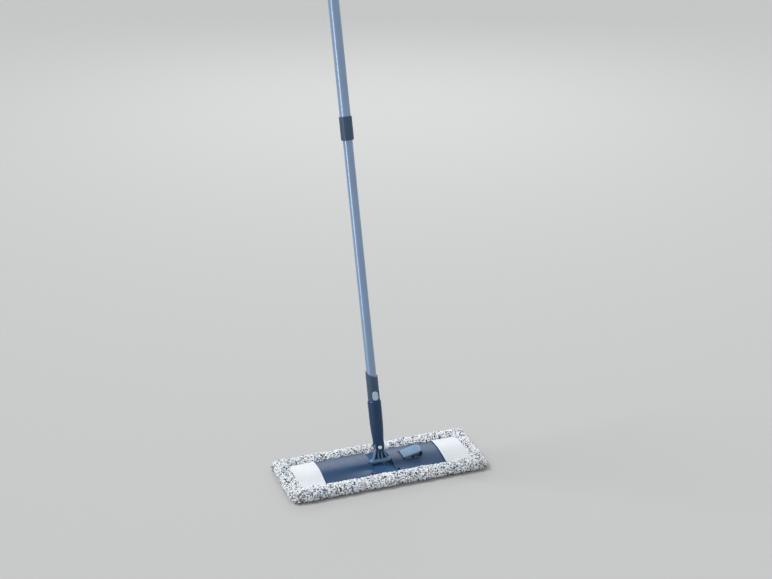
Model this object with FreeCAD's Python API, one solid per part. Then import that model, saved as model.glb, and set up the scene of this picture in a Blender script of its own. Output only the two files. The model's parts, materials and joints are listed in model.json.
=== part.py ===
import FreeCAD, Part
import math
import os

# Flat mop: a folding pocket frame with its chenille cover, a two-axis joint and a telescopic pole.
# Millimetres and degrees. +X runs along the pad, -Y is the front, +Z is up.
# The origin lies on the floor, under the middle of the joint.

V = FreeCAD.Vector

# Driving dimensions
PLATE_LENGTH = 400.0
PLATE_WIDTH = 100.0
PAD_LENGTH = 468.0
PAD_WIDTH = 168.0
PILE = 10.0                 # the pile and its backing, under the plate
BORDER_HEIGHT = 18.0        # top of the puffy border
JOINT_HEIGHT = 27.5         # where the pole's heights are measured from, above the floor
LEAN = 17.0                 # how far the pole leans back from upright
LOWER_TUBE_D = 22.0
UPPER_TUBE_D = 25.0
TUBE_WALL = 1.0
POLE_TOP = 1345.0           # from the joint to the end of the hanging eye
RUNNING = 0.06              # radial clearance of a turning or sliding fit
GAP = 0.3                   # space between neighbours that never touch

# Plate and hinges
PLATE_BOTTOM = PILE + 0.2
TROUGH_FLOOR = 15.0
SKIN = 2.4
RIB = 1.8
HINGE_X = 28.0
HINGE_Z = 13.5
HINGE_PIN_R = 1.5
KNUCKLE_R = 3.1
HINGE_HALF = 46.0
BLOCK_HALF = 24.2
BLOCK_KNUCKLES = ((-46.0, -38.0), (-22.0, -14.0), (14.0, 22.0), (38.0, 46.0))
WING_KNUCKLES = ((-38.0 + GAP, -22.0 - GAP), (22.0 + GAP, 38.0 - GAP))
LEFT_INNER = 22.5           # where the left wing's top skin starts
RIGHT_INNER = 26.0          # where the right wing's top skin starts
RIB_PLACES = (43.0, 118.0, 150.0, 180.0)   # the cross ribs under a wing
LONG_RIB_Y = 30.0
LONG_RIB_END = 198.0
SKIN_REACH = 6.5            # the skin alone bridges this much beside a block knuckle
CLEAR_R = KNUCKLE_R + 0.5

# Heights of the wing's top across its width: at the hinge, half way out and at the outer end.
# The left wing has a sharp ridge behind a low front flange, and the right wing a softer crown.
STATIONS = (20.0, 112.0, 208.0)
LEFT_CROWNS = (
    ((-50, 16.6), (-32, 16.8), (-17, 17.4), (-8, 21.2), (0, 22.4), (25, 22.0), (50, 18.6)),
    ((-50, 14.0), (-36, 15.6), (-21, 18.4), (-8, 21.6), (4, 22.6), (26, 21.4), (50, 17.6)),
    ((-50, 12.6), (-38, 14.6), (-24, 17.4), (-9, 20.4), (5, 21.4), (26, 19.8), (50, 15.8)),
)
RIGHT_CROWNS = (
    ((-50, 16.6), (-36, 17.0), (-24, 19.0), (-12, 22.2), (0, 23.2), (25, 22.8), (50, 18.8)),
    ((-50, 15.8), (-36, 17.6), (-24, 19.4), (-12, 21.0), (0, 22.0), (25, 21.2), (50, 17.2)),
    ((-50, 14.2), (-36, 17.0), (-24, 18.8), (-12, 20.2), (0, 20.9), (25, 19.6), (50, 15.8)),
)

# Cover
COVER_SPLIT = HINGE_X + HINGE_Z + 0.5   # the cover's halves start here, so they clear each other folded
BORDER_INNER_Y = PLATE_WIDTH / 2 + 1.5
BORDER_INNER_X = 207.0
POCKET_EDGE = 145.0
POCKET_GAP = 0.4
POCKET_CLOTH = 1.4
HEM_WIDTH = 5.0
HEM_CLOTH = 0.6
PAD_CORNER = 14.0

# Yoke and cross pin, in the pole's own upright frame, with its origin on the bar's axis
BAR_S = -5.0                # the bar's place along the pole
BAR_Y = BAR_S * math.sin(math.radians(LEAN))
BAR_Z = JOINT_HEIGHT + BAR_S * math.cos(math.radians(LEAN))
BAR_R = 5.0
BAR_LENGTH = 50.0
STUB_R = 2.4                # the bar's thin ends, which turn in the block's lugs
LUG_R = 4.4
LUG_IN = BAR_LENGTH / 2 + GAP
LUG_OUT = 27.6
LUG_LIP = 1.4               # the lugs are open above this height over the bar's axis
LUG_FOOT_TOP = 17.2
CROSS_PIN_S = 28.0
CROSS_PIN_R = 2.5
PIN_HEAD_R = 4.6
PIN_HEAD = 2.0
BOSS_R = 10.0
BOSS_HALF = 4.5
YOKE_RIBS = ((3.9, 4.3, 2.2), (7.6, 18.0, 3.0))   # distance from the middle at the top and foot, thickness
RIB_TOP_S = CROSS_PIN_S - 4.0
WEB_FRONT = 2.5             # the yoke's web closes the space behind the ribs

# Pole, along its own axis from the yoke's bar
EAR_R = 10.4
EAR_OUT = 9.6
FORK_SLOT = 4.7
SOCKET_PROFILE = ((34.0, 11.6), (40.0, 12.3), (53.0, 13.5), (64.0, 14.4), (82.0, 15.2), (110.0, 15.4))
SOCKET_TOP = 137.0
SOCKET_TOP_R = 15.5
SOCKET_BORE_R = 8.0
SOCKET_FLOOR = 66.0
SPIGOT_R = 11.4
SPIGOT_TOP = 186.0
SLEEVE_R = 13.8
SLEEVE_TOP = 199.7
SLEEVE_CUT_TILT = 28.0
SLEEVE_CUT_TURN = 40.0
LOWER_TUBE_START = SPIGOT_TOP + 1.5
LOWER_TUBE_END = 868.0
COLLAR_START = 736.0
COLLAR_END = 789.5
COLLAR_R = 14.6
COLLET_R = 12.8             # the collet's head outside the upper tube
COLLET_END = 776.0
PLUG_BORE_R = 6.0
UPPER_TUBE_START = 752.0
UPPER_TUBE_END = 1312.0
GRIP_START = 1192.0
GRIP_R = 15.4
EYE_R = 4.5
EYE_OUTER = 11.0
EYE_HALF = 4.5

# Click button on the sleeve
BUTTON_S = 150.0
BUTTON_WIDTH = 12.6
BUTTON_HEIGHT = 21.0
BUTTON_INNER = 11.8
BUTTON_OUTER = 14.9
SPIGOT_FLAT = 9.4

# Pedal, latch and their springs
PEDAL_Y = 5.5
PEDAL_X0 = 54.5
PEDAL_X1 = 102.0
PEDAL_HALF = 16.5
PEDAL_CORNER = 12.0
PEDAL_LOW = 25.2
PEDAL_HIGH = 35.5
PEDAL_THICK = 3.0
PEDAL_AXLE_X = 58.0
PEDAL_AXLE_Z = 19.2
PEDAL_AXLE_R = 1.25
PEDAL_BARREL_R = 2.6
PEDAL_BARREL_HALF = 11.0
WINDOW_MARGIN = 2.2
WINDOW_LOW_MARGIN = 1.0
PEDAL_SPRING_X = 84.0
PEDAL_SPRING_LENGTH = 14.6
LID_X = 20.0                # half the latch lid's length and width, and its top
LID_Y = 14.0
LID_TOP = 10.8
SCREW_R = 1.0
SLIDER_HALF = 6.0
SLIDER_BOTTOM = 10.9
SLIDER_THICK = 0.8
SLIDER_LEFT = 29.9
SLIDER_TIP_R = 4.1          # the tips are rounded about the hinges, so that nothing fouls when a wing folds
ROD_TIP_R = SLIDER_TIP_R + GAP + 0.04
ROD_Y = 2.0
ROD_HALF = 3.0
ROD_BOTTOM = 11.2
ROD_TOP = 14.4
BRIDGE_X = 63.0             # the spring's seat starts at this cross rib
GUIDE_X = 50.0              # the cross rib that guides the push rod


def box(x0, x1, y0, y1, z0, z1):
    """A box between two corners, given in any order along X."""
    low, high = min(x0, x1), max(x0, x1)
    return Part.makeBox(high - low, y1 - y0, z1 - z0, V(low, y0, z0))


def rod(radius, start, end):
    """A round bar between two points."""
    return Part.makeCylinder(radius, start.distanceToPoint(end), start, end - start)


def tube(outer, inner, s0, s1):
    """A ring about the pole's axis."""
    ring = Part.makeCylinder(outer, s1 - s0, V(0, 0, s0))
    return ring.cut(Part.makeCylinder(inner, s1 - s0, V(0, 0, s0)))


def revolved(points):
    """A solid turned about the pole's axis from (radius, height) points, with straight sides."""
    corners = [V(r, 0, s) for r, s in points]
    face = Part.Face(Part.makePolygon(corners + corners[:1]))
    return face.revolve(V(0, 0, 0), V(0, 0, 1), 360)


def slab(points, y0, y1):
    """A prism along Y from (x, z) points."""
    corners = [V(x, y0, z) for x, z in points]
    return Part.Face(Part.makePolygon(corners + corners[:1])).extrude(V(0, y1 - y0, 0))


def rounded_plate(x0, x1, y0, y1, z0, z1, radii):
    """A plate with its four upright corners rounded: radii at low X and at high X."""
    plate = box(x0, x1, y0, y1, z0, z1)
    for x, radius in ((x0, radii[0]), (x1, radii[1])):
        if radius > 0:
            edges = [e for e in plate.Edges if abs(e.BoundBox.XLength) < 1e-6
                     and abs(e.BoundBox.YLength) < 1e-6 and abs(e.Vertexes[0].X - x) < 1e-6]
            plate = plate.makeFillet(radius, edges)
    return plate


def obround(width, height, y0, y1, s):
    """An oval button shape facing the front, its long way up the pole."""
    half = height / 2 - width / 2
    ends = [rod(width / 2, V(0, y0, s + k * half), V(0, y1, s + k * half)) for k in (-1, 1)]
    middle = box(-width / 2, width / 2, y0, y1, s - half, s + half)
    return middle.fuse(ends).removeSplitter()


def fused(first, *others):
    """One solid from several that touch."""
    return first.fuse([o for o in others]).removeSplitter()


def largest(shape):
    """The one solid of a boolean's result, without any empty leftover."""
    return max(shape.Solids, key=lambda solid: solid.Volume)


def coil(radius, wire, height, turns):
    """A helical spring standing on the origin."""
    path = Part.Wire(Part.makeHelix(height / turns, height, radius))
    section = Part.Wire(Part.makeCircle(wire / 2, V(radius, 0, 0), V(0, 1, 0)))
    return path.makePipeShell([section], True, True)


def on_pole(shape):
    """Places a shape from the pole's upright frame to the leaning pole."""
    placed = shape.copy()
    placed.rotate(V(0, 0, 0), V(1, 0, 0), -LEAN)
    placed.translate(V(0, 0, JOINT_HEIGHT))
    return placed


# ---- the folding plate ----

def crown(crowns, side, lift=0.0, inset=0.0, bottom=PLATE_BOTTOM):
    """A wing's full form between its underside and its crowned top."""
    wires = []
    for x, heights in zip(STATIONS, crowns):
        half = PLATE_WIDTH / 2 - inset
        scale = half / (PLATE_WIDTH / 2)
        points = [V(side * x, y * scale, z + lift) for y, z in heights]
        curve = Part.BSplineCurve()
        curve.interpolate(points)
        front = V(side * x, -half, bottom)
        back = V(side * x, half, bottom)
        wires.append(Part.Wire([Part.makeLine(front, points[0]), curve.toShape(),
                                Part.makeLine(points[-1], back), Part.makeLine(back, front)]))
    return Part.makeLoft(wires, True)


def plate_outline(side, inner, inset=0.0):
    """The wing's plan, with its outer corners rounded."""
    outer = PLATE_LENGTH / 2 - inset
    corner = PAD_CORNER - inset
    half = PLATE_WIDTH / 2 - inset
    plan = rounded_plate(inner, outer, -half, half, 0, BORDER_HEIGHT * 2, (0, corner))
    return plan if side > 0 else plan.mirror(V(0, 0, 0), V(1, 0, 0))


def hinge_cylinder(side, radius, y0, y1):
    return rod(radius, V(side * HINGE_X, y0, HINGE_Z), V(side * HINGE_X, y1, HINGE_Z))


def wing_ribs(side):
    """The stiffening ribs under a wing."""
    reach = PLATE_WIDTH / 2 - 1.0
    ribs = [box(side * x, side * (x + RIB), -reach, reach, PLATE_BOTTOM, BORDER_HEIGHT * 2)
            for x in RIB_PLACES]
    for y in (-LONG_RIB_Y, LONG_RIB_Y):
        ribs.append(box(side * RIB_PLACES[0], side * LONG_RIB_END, y, y + RIB,
                        PLATE_BOTTOM, BORDER_HEIGHT * 2))
    return ribs


def wing(side, crowns, inner):
    """A hollow wing with its hinge knuckles, without anything that only one wing has."""
    form = crown(crowns, side)
    shell = form.common(plate_outline(side, inner))
    hollow = crown(crowns, side, lift=-SKIN, inset=SKIN, bottom=0.0)
    shell = shell.cut(hollow.common(plate_outline(side, inner + SKIN, inset=SKIN)))
    ribs = [rib.common(form) for rib in wing_ribs(side)]
    arms = [box(side * HINGE_X, side * (RIB_PLACES[0] + 1.0), y0, y1,
                HINGE_Z - KNUCKLE_R, HINGE_Z + KNUCKLE_R)
            for y0, y1 in WING_KNUCKLES]
    knuckles = [hinge_cylinder(side, KNUCKLE_R, y0, y1) for y0, y1 in WING_KNUCKLES]
    body = fused(shell, *ribs)
    # Nothing of the wing but its knuckles stays near the hinge under the skin.
    skin_bottom = HINGE_Z + CLEAR_R
    body = body.cut(box(side * 20.0, side * (HINGE_X + SKIN_REACH), -60, 60, 0, TROUGH_FLOOR + GAP))
    body = body.cut(hinge_cylinder(side, CLEAR_R, -60, 60))
    body = body.cut(box(side * HINGE_X, side * (HINGE_X + SKIN_REACH), -60, 60, 0, skin_bottom))
    body = body.cut(hinge_cylinder(side, ROD_TIP_R + GAP, -SLIDER_HALF - 1, SLIDER_HALF + 1))
    body = body.cut(box(side * 20.0, side * (LUG_OUT + 1.0), BAR_Y - LUG_R - 0.6, BAR_Y + LUG_R + 0.6,
                        TROUGH_FLOOR, 60))
    body = fused(body, *(arms + knuckles))
    for y0, y1 in WING_KNUCKLES:
        body = body.cut(hinge_cylinder(side, HINGE_PIN_R + RUNNING, y0 - 1, y1 + 1))
    return body


def left_wing():
    return wing(-1, LEFT_CROWNS, LEFT_INNER)


def pedal_window():
    """The opening in the right wing that the pedal sinks into."""
    margin = WINDOW_MARGIN
    window = rounded_plate(PEDAL_X0 - WINDOW_LOW_MARGIN, PEDAL_X1 + margin, PEDAL_Y - PEDAL_HALF - margin,
                           PEDAL_Y + PEDAL_HALF + margin, 0, 40, (2.0, PEDAL_CORNER + margin))
    return window


def foot_mark():
    """Two shallow steps in front of the pedal that show where to press."""
    depth = 0.8
    mark = []
    for x, y, length in ((56.0, -17.6, 11.0), (66.0, -20.6, 14.0)):
        mark.append(box(x, x + length, y - 0.8, y, 0, 40))
    mark.append(box(66.0, 67.0, -20.6, -17.6, 0, 40))
    above = crown(RIGHT_CROWNS, 1, lift=4.0, bottom=TROUGH_FLOOR)
    top = above.cut(crown(RIGHT_CROWNS, 1, lift=-depth))
    return fused(*mark).common(top)


def right_wing():
    """The right wing, with the pedal's window, its axle posts and the push rod's guides."""
    body = wing(1, RIGHT_CROWNS, RIGHT_INNER)
    body = body.cut(pedal_window())
    form = crown(RIGHT_CROWNS, 1)
    outer_post = PEDAL_HALF + WINDOW_MARGIN + 4.0
    posts = []
    for direction in (-1, 1):
        y_in = PEDAL_Y + direction * (PEDAL_BARREL_HALF + GAP)
        y_out = PEDAL_Y + direction * outer_post
        post = box(PEDAL_AXLE_X - 3, PEDAL_AXLE_X + 3, min(y_in, y_out), max(y_in, y_out), PLATE_BOTTOM, 40)
        posts.append(post.common(form))
    under_pedal = box(PEDAL_X0 - 4, PEDAL_AXLE_X + 4, PEDAL_Y - PEDAL_HALF - 0.6,
                      PEDAL_Y + PEDAL_HALF + 0.6, PEDAL_LOW - 4.3, 40)
    seat = box(BRIDGE_X, RIB_PLACES[1] + RIB, PEDAL_Y - 5, PEDAL_Y + 5, PLATE_BOTTOM, PLATE_BOTTOM + RIB)
    bridge = box(BRIDGE_X, BRIDGE_X + RIB, -LONG_RIB_Y, LONG_RIB_Y + RIB, PLATE_BOTTOM, TROUGH_FLOOR)
    spigot = Part.makeCylinder(2.0, 3.0, V(PEDAL_SPRING_X, PEDAL_Y, PLATE_BOTTOM + RIB))
    guide = box(GUIDE_X, GUIDE_X + 2.0, -LONG_RIB_Y, LONG_RIB_Y + RIB, PLATE_BOTTOM, 40).common(form)
    body = fused(body, *(posts + [seat, bridge, spigot, guide]))
    body = body.cut(under_pedal)
    axle = rod(PEDAL_AXLE_R, V(PEDAL_AXLE_X, PEDAL_Y - outer_post, PEDAL_AXLE_Z),
               V(PEDAL_AXLE_X, PEDAL_Y + outer_post, PEDAL_AXLE_Z))
    half = ROD_HALF + RUNNING
    rod_path = box(HINGE_X, PEDAL_AXLE_X - 2.0, ROD_Y - half, ROD_Y + half, ROD_BOTTOM - RUNNING,
                   ROD_TOP + RUNNING)
    return largest(body.cut(axle).cut(rod_path).cut(foot_mark()))


def axle_lug(side):
    """A lug beside the trough, open at its top, that holds one end of the yoke's bar."""
    foot = box(side * 19.0, side * LUG_OUT, BAR_Y - LUG_R, BAR_Y + LUG_R, TROUGH_FLOOR - 0.1, LUG_FOOT_TOP)
    upright = box(side * LUG_IN, side * LUG_OUT, BAR_Y - LUG_R, BAR_Y + LUG_R, TROUGH_FLOOR, BAR_Z)
    eye = rod(LUG_R, V(side * LUG_IN, BAR_Y, BAR_Z), V(side * LUG_OUT, BAR_Y, BAR_Z))
    lug = fused(foot, upright, eye)
    lug = lug.cut(rod(STUB_R + RUNNING, V(side * 20.0, BAR_Y, BAR_Z), V(side * 30.0, BAR_Y, BAR_Z)))
    lug = lug.cut(box(side * 20.0, side * 30.0, BAR_Y - LUG_R - 1, BAR_Y + LUG_R + 1, BAR_Z + LUG_LIP, 60))
    return lug.cut(hinge_cylinder(side, HINGE_PIN_R + GAP, -10, 10))


def centre_block():
    """The block between the wings: hinge knuckles, lugs for the yoke's bar, latch channel."""
    base = box(-BLOCK_HALF, BLOCK_HALF, -PLATE_WIDTH / 2 + 2, PLATE_WIDTH / 2 - 2, PLATE_BOTTOM, TROUGH_FLOOR)
    upright = [e for e in base.Edges if e.BoundBox.ZLength > 4 and e.BoundBox.YLength < 1e-6]
    base = base.makeFillet(2.0, upright)
    pieces = []
    for side in (-1, 1):
        for y0, y1 in BLOCK_KNUCKLES:
            pieces.append(hinge_cylinder(side, KNUCKLE_R, y0, y1))
            pieces.append(box(side * (BLOCK_HALF - 3), side * HINGE_X, y0, y1, HINGE_Z - KNUCKLE_R, HINGE_Z))
        pieces.append(axle_lug(side))
    spring_house = box(-18.0, 4.0, -4.2, 4.2, TROUGH_FLOOR, LUG_FOOT_TOP)
    block = fused(base, spring_house, *pieces)
    channel = box(-40, 40, -SLIDER_HALF - RUNNING, SLIDER_HALF + RUNNING,
                  0, SLIDER_BOTTOM + SLIDER_THICK + 0.1)
    spring_room = box(-16.6, 2.4, -2.4, 2.4, 0, 16.4)
    cover_seat = box(-LID_X - GAP, LID_X + GAP, -LID_Y - GAP, LID_Y + GAP, 0, LID_TOP)
    block = block.cut(channel).cut(spring_room).cut(cover_seat)
    for side in (-1, 1):
        block = block.cut(hinge_cylinder(side, HINGE_PIN_R, -HINGE_HALF - 1, HINGE_HALF + 1))
    for x, y in screw_places():
        block = block.cut(Part.makeCylinder(SCREW_R, 5.0, V(x, y, 9.0)))
    return block


def hinge_pin(side):
    """A steel rod with rounded ends."""
    pin = hinge_cylinder(side, HINGE_PIN_R, -HINGE_HALF, HINGE_HALF)
    ends = [e for e in pin.Edges if isinstance(e.Curve, Part.Circle)]
    return pin.makeChamfer(0.4, ends)


def screw_places():
    return [(x, y) for x in (2.5 - LID_X, LID_X - 2.5) for y in (3.0 - LID_Y, LID_Y - 3.0)]


def latch_cover():
    """The thin lid that keeps the latch slider in the block."""
    lid = rounded_plate(-LID_X, LID_X, -LID_Y, LID_Y, PLATE_BOTTOM, LID_TOP, (2.0, 2.0))
    for x, y in screw_places():
        lid = lid.cut(Part.makeCylinder(SCREW_R, 4.0, V(x, y, 9.0)))
    return lid


def cover_screws():
    """Four small screws that hold the latch's lid, with heads sunk flush."""
    screws = []
    for x, y in screw_places():
        shank = Part.makeCylinder(SCREW_R, 3.6, V(x, y, PLATE_BOTTOM))
        slot = box(x - 0.8, x + 0.8, y - 0.15, y + 0.15, PLATE_BOTTOM - 1, PLATE_BOTTOM + 0.3)
        screws.append(shank.cut(slot))
    return Part.makeCompound(screws)


# ---- pedal and latch ----

def pedal_place(shape):
    """Tips a flat pedal shape up to its slope, about its low edge."""
    slope = math.degrees(math.atan2(PEDAL_HIGH - PEDAL_LOW, PEDAL_X1 - PEDAL_X0))
    tipped = shape.copy()
    tipped.rotate(V(PEDAL_X0, 0, PEDAL_LOW), V(0, 1, 0), -slope)
    return tipped


def pedal():
    """The foot pedal: a sloping tongue, its barrel and the finger that pushes the rod."""
    flat = rounded_plate(PEDAL_X0, PEDAL_X1, PEDAL_Y - PEDAL_HALF, PEDAL_Y + PEDAL_HALF,
                         PEDAL_LOW - PEDAL_THICK, PEDAL_LOW, (1.5, PEDAL_CORNER))
    rim = [e for e in flat.Edges if e.BoundBox.ZLength < 1e-6 and e.BoundBox.ZMin > PEDAL_LOW - 0.1]
    flat = flat.makeFillet(1.0, rim)
    grips = []
    for x in (84.0, 88.0, 92.0):
        grips.append(box(x, x + 1.2, PEDAL_Y - 8, PEDAL_Y + 8, PEDAL_LOW - 0.5, PEDAL_LOW + 1))
    tongue = pedal_place(flat.cut(grips))
    barrel = rod(PEDAL_BARREL_R, V(PEDAL_AXLE_X, PEDAL_Y - PEDAL_BARREL_HALF, PEDAL_AXLE_Z),
                 V(PEDAL_AXLE_X, PEDAL_Y + PEDAL_BARREL_HALF, PEDAL_AXLE_Z))
    web = box(PEDAL_AXLE_X - 2, PEDAL_AXLE_X + 2, PEDAL_Y - PEDAL_BARREL_HALF,
              PEDAL_Y + PEDAL_BARREL_HALF, PEDAL_AXLE_Z, PEDAL_LOW - 1.5)
    finger = box(PEDAL_AXLE_X - 1.2, PEDAL_AXLE_X + 1.2, ROD_Y - 3, ROD_Y + 3, 11.6, PEDAL_AXLE_Z)
    whole = fused(tongue, barrel, web, finger)
    bore = rod(PEDAL_AXLE_R + RUNNING, V(PEDAL_AXLE_X, PEDAL_Y - 30, PEDAL_AXLE_Z),
               V(PEDAL_AXLE_X, PEDAL_Y + 30, PEDAL_AXLE_Z))
    return whole.cut(bore)


def pedal_axle():
    half = PEDAL_HALF + WINDOW_MARGIN + 4.0
    return rod(PEDAL_AXLE_R, V(PEDAL_AXLE_X, PEDAL_Y - half, PEDAL_AXLE_Z),
               V(PEDAL_AXLE_X, PEDAL_Y + half, PEDAL_AXLE_Z))


def pedal_spring():
    """The coil that lifts the pedal, round its spigot on the wing."""
    foot = PLATE_BOTTOM + RIB + 0.6
    spring = coil(3.4, 0.9, PEDAL_SPRING_LENGTH, 7)
    spring.translate(V(PEDAL_SPRING_X, PEDAL_Y, foot))
    return spring


def push_rod():
    """The rod that carries the pedal's push to the latch slider, with its tip hollowed about the hinge."""
    bar = box(HINGE_X + 2.0, PEDAL_AXLE_X - 1.4, ROD_Y - ROD_HALF, ROD_Y + ROD_HALF, ROD_BOTTOM, ROD_TOP)
    ends = [e for e in bar.Edges if e.BoundBox.XLength < 1e-6 and e.BoundBox.YLength < 1e-6]
    return bar.makeFillet(0.8, ends).cut(hinge_cylinder(1, ROD_TIP_R, -10, 10))


def latch_slider():
    """A steel strip that runs in the block, with a tab for its spring."""
    top = SLIDER_BOTTOM + SLIDER_THICK
    strip = box(-SLIDER_LEFT, HINGE_X + SLIDER_TIP_R, -SLIDER_HALF, SLIDER_HALF, SLIDER_BOTTOM, top)
    beyond = box(HINGE_X, HINGE_X + 10, -10, 10, 0, 20).cut(hinge_cylinder(1, SLIDER_TIP_R, -11, 11))
    tab = box(0.6, 1.8, -2.0, 2.0, SLIDER_BOTTOM, 16.0)
    return fused(strip.cut(beyond), tab)


def latch_spring():
    """The coil that pushes the latch slider home."""
    spring = coil(1.6, 0.5, 15.6, 12)
    spring.rotate(V(0, 0, 0), V(0, 1, 0), 90)
    spring.translate(V(-16.1, 0, 14.3))
    return spring


# ---- joint ----

def yoke():
    """The T-shaped yoke: a bar with thin stub ends, four fanned ribs and the pin's boss."""
    bar = rod(BAR_R, V(-BAR_LENGTH / 2, 0, BAR_S), V(BAR_LENGTH / 2, 0, BAR_S))
    bar = bar.makeFillet(1.6, [e for e in bar.Edges if isinstance(e.Curve, Part.Circle)])
    stub_end = LUG_OUT - 0.1
    stubs = rod(STUB_R, V(-stub_end, 0, BAR_S), V(stub_end, 0, BAR_S))
    boss = rod(BOSS_R, V(0, -BOSS_HALF, CROSS_PIN_S), V(0, BOSS_HALF, CROSS_PIN_S))
    ribs = []
    for top, foot, thick in YOKE_RIBS:
        half = thick / 2
        for side in (-1, 1):
            ribs.append(slab(((side * foot - half, BAR_S), (side * foot + half, BAR_S),
                              (side * top + half, RIB_TOP_S), (side * top - half, RIB_TOP_S)),
                             -BOSS_HALF, WEB_FRONT))
    whole = fused(bar, stubs).fuse([boss] + ribs)
    return largest(whole.cut(rod(CROSS_PIN_R + RUNNING, V(0, -20, CROSS_PIN_S), V(0, 20, CROSS_PIN_S))))


def yoke_web():
    """The thin dark plate behind the yoke's ribs, between its bar and its boss."""
    top, foot, thick = YOKE_RIBS[-1]
    low = foot + thick / 2
    high = top + thick / 2
    plate = slab(((-low, BAR_S), (low, BAR_S), (high, RIB_TOP_S), (-high, RIB_TOP_S)), WEB_FRONT, BOSS_HALF)
    plate = plate.cut(rod(BAR_R, V(-BAR_LENGTH / 2, 0, BAR_S), V(BAR_LENGTH / 2, 0, BAR_S)))
    return largest(plate.cut(rod(BOSS_R, V(0, -20, CROSS_PIN_S), V(0, 20, CROSS_PIN_S))))


def cross_pin():
    """A steel rivet through the fork and the yoke, with a domed head at the front."""
    shank = rod(CROSS_PIN_R, V(0, -EAR_OUT, CROSS_PIN_S), V(0, EAR_OUT + 1.6, CROSS_PIN_S))
    head = rod(PIN_HEAD_R, V(0, -EAR_OUT - PIN_HEAD, CROSS_PIN_S), V(0, -EAR_OUT, CROSS_PIN_S))
    rim = [e for e in head.Edges if isinstance(e.Curve, Part.Circle) and e.BoundBox.YMin < -EAR_OUT - 1]
    return fused(head.makeFillet(1.5, rim), shank)


def pin_washer():
    """The spring washer pushed on the pin's back end."""
    disc = rod(4.4, V(0, EAR_OUT, CROSS_PIN_S), V(0, EAR_OUT + 0.8, CROSS_PIN_S))
    return disc.cut(rod(CROSS_PIN_R, V(0, 0, CROSS_PIN_S), V(0, 20, CROSS_PIN_S)))


def handle_socket():
    """The tapered socket: a fork round the yoke, a hollow body and the spigot for the click sleeve."""
    profile = [(0.0, 34.0)] + [(r, s) for s, r in SOCKET_PROFILE]
    profile += [(SOCKET_TOP_R, SOCKET_TOP - 1.0), (SOCKET_TOP_R - 1.0, SOCKET_TOP), (SPIGOT_R, SOCKET_TOP)]
    profile += [(SPIGOT_R, SPIGOT_TOP - 1.0), (SPIGOT_R - 1.0, SPIGOT_TOP)]
    profile += [(SOCKET_BORE_R, SPIGOT_TOP), (SOCKET_BORE_R, SOCKET_FLOOR), (0.0, SOCKET_FLOOR)]
    body = revolved(profile)
    ears = rod(EAR_R, V(0, -EAR_OUT, CROSS_PIN_S), V(0, EAR_OUT, CROSS_PIN_S))
    neck = box(-EAR_R, EAR_R, -EAR_OUT, EAR_OUT, CROSS_PIN_S, 42.0)
    body = fused(body, ears, neck)
    slot = rod(BOSS_R + GAP * 2, V(0, -FORK_SLOT, CROSS_PIN_S), V(0, FORK_SLOT, CROSS_PIN_S))
    gap = box(-20, 20, -FORK_SLOT, FORK_SLOT, 0, CROSS_PIN_S + 3.0)
    body = body.cut(slot).cut(gap)
    # The fork's slot flares so that the yoke's ribs stay clear when the pole tips to a side.
    for side in (-1, 1):
        body = body.cut(slab(((0, CROSS_PIN_S), (side * 20, CROSS_PIN_S), (side * 20, CROSS_PIN_S + 17)),
                             -FORK_SLOT, FORK_SLOT))
    body = body.cut(rod(CROSS_PIN_R, V(0, -20, CROSS_PIN_S), V(0, 20, CROSS_PIN_S)))
    flat = box(-BUTTON_WIDTH / 2 - 1, BUTTON_WIDTH / 2 + 1, -20, -SPIGOT_FLAT, SOCKET_TOP, SPIGOT_TOP + 1)
    body = body.cut(flat)
    return body.cut(socket_marks())


def socket_marks():
    """A small arrow head and a row of fine grip grooves on the socket's front."""
    depth = SOCKET_TOP_R - 0.6
    arrow = Part.Face(Part.makePolygon([V(-3.2, -20, 121.5), V(3.2, -20, 121.5), V(0, -20, 127.5),
                                        V(-3.2, -20, 121.5)])).extrude(V(0, 20 - depth, 0))
    grooves = [box(-4.5, 4.5, -20, -depth, s, s + 1.2) for s in (103.0, 106.0, 109.0, 112.0, 115.0)]
    return Part.makeCompound([arrow] + grooves)


def click_sleeve():
    """The sleeve at the pole's foot, cut obliquely at its top, with the button's window."""
    top = SLEEVE_TOP + 12.0
    profile = [(SPIGOT_R + RUNNING, SOCKET_TOP + GAP), (SLEEVE_R - 0.5, SOCKET_TOP + GAP),
               (SLEEVE_R, SOCKET_TOP + GAP + 0.6), (SLEEVE_R - 0.4, top),
               (LOWER_TUBE_D / 2, top), (LOWER_TUBE_D / 2, LOWER_TUBE_START),
               (SPIGOT_R + RUNNING, LOWER_TUBE_START)]
    body = revolved(profile)
    above = box(-40, 40, -40, 40, 0, 60)
    above.rotate(V(0, 0, 0), V(1, 0, 0), SLEEVE_CUT_TILT)
    above.rotate(V(0, 0, 0), V(0, 0, 1), SLEEVE_CUT_TURN)
    above.translate(V(0, 0, SLEEVE_TOP))
    body = body.cut(above)
    slack = 2 * RUNNING
    return body.cut(obround(BUTTON_WIDTH + slack, BUTTON_HEIGHT + slack, -20, 0, BUTTON_S))


def push_button():
    """The oval click button, with a raised rim round a shallow dish."""
    body = obround(BUTTON_WIDTH, BUTTON_HEIGHT, -BUTTON_OUTER, -BUTTON_INNER, BUTTON_S)
    rim = [e for e in body.Edges if e.BoundBox.YLength < 1e-6 and e.BoundBox.YMin < -BUTTON_OUTER + 0.1]
    body = body.makeFillet(0.8, rim)
    dish = obround(BUTTON_WIDTH - 4.4, BUTTON_HEIGHT - 4.4, -BUTTON_OUTER - 1, -BUTTON_OUTER + 0.9, BUTTON_S)
    return body.cut(dish)


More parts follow.
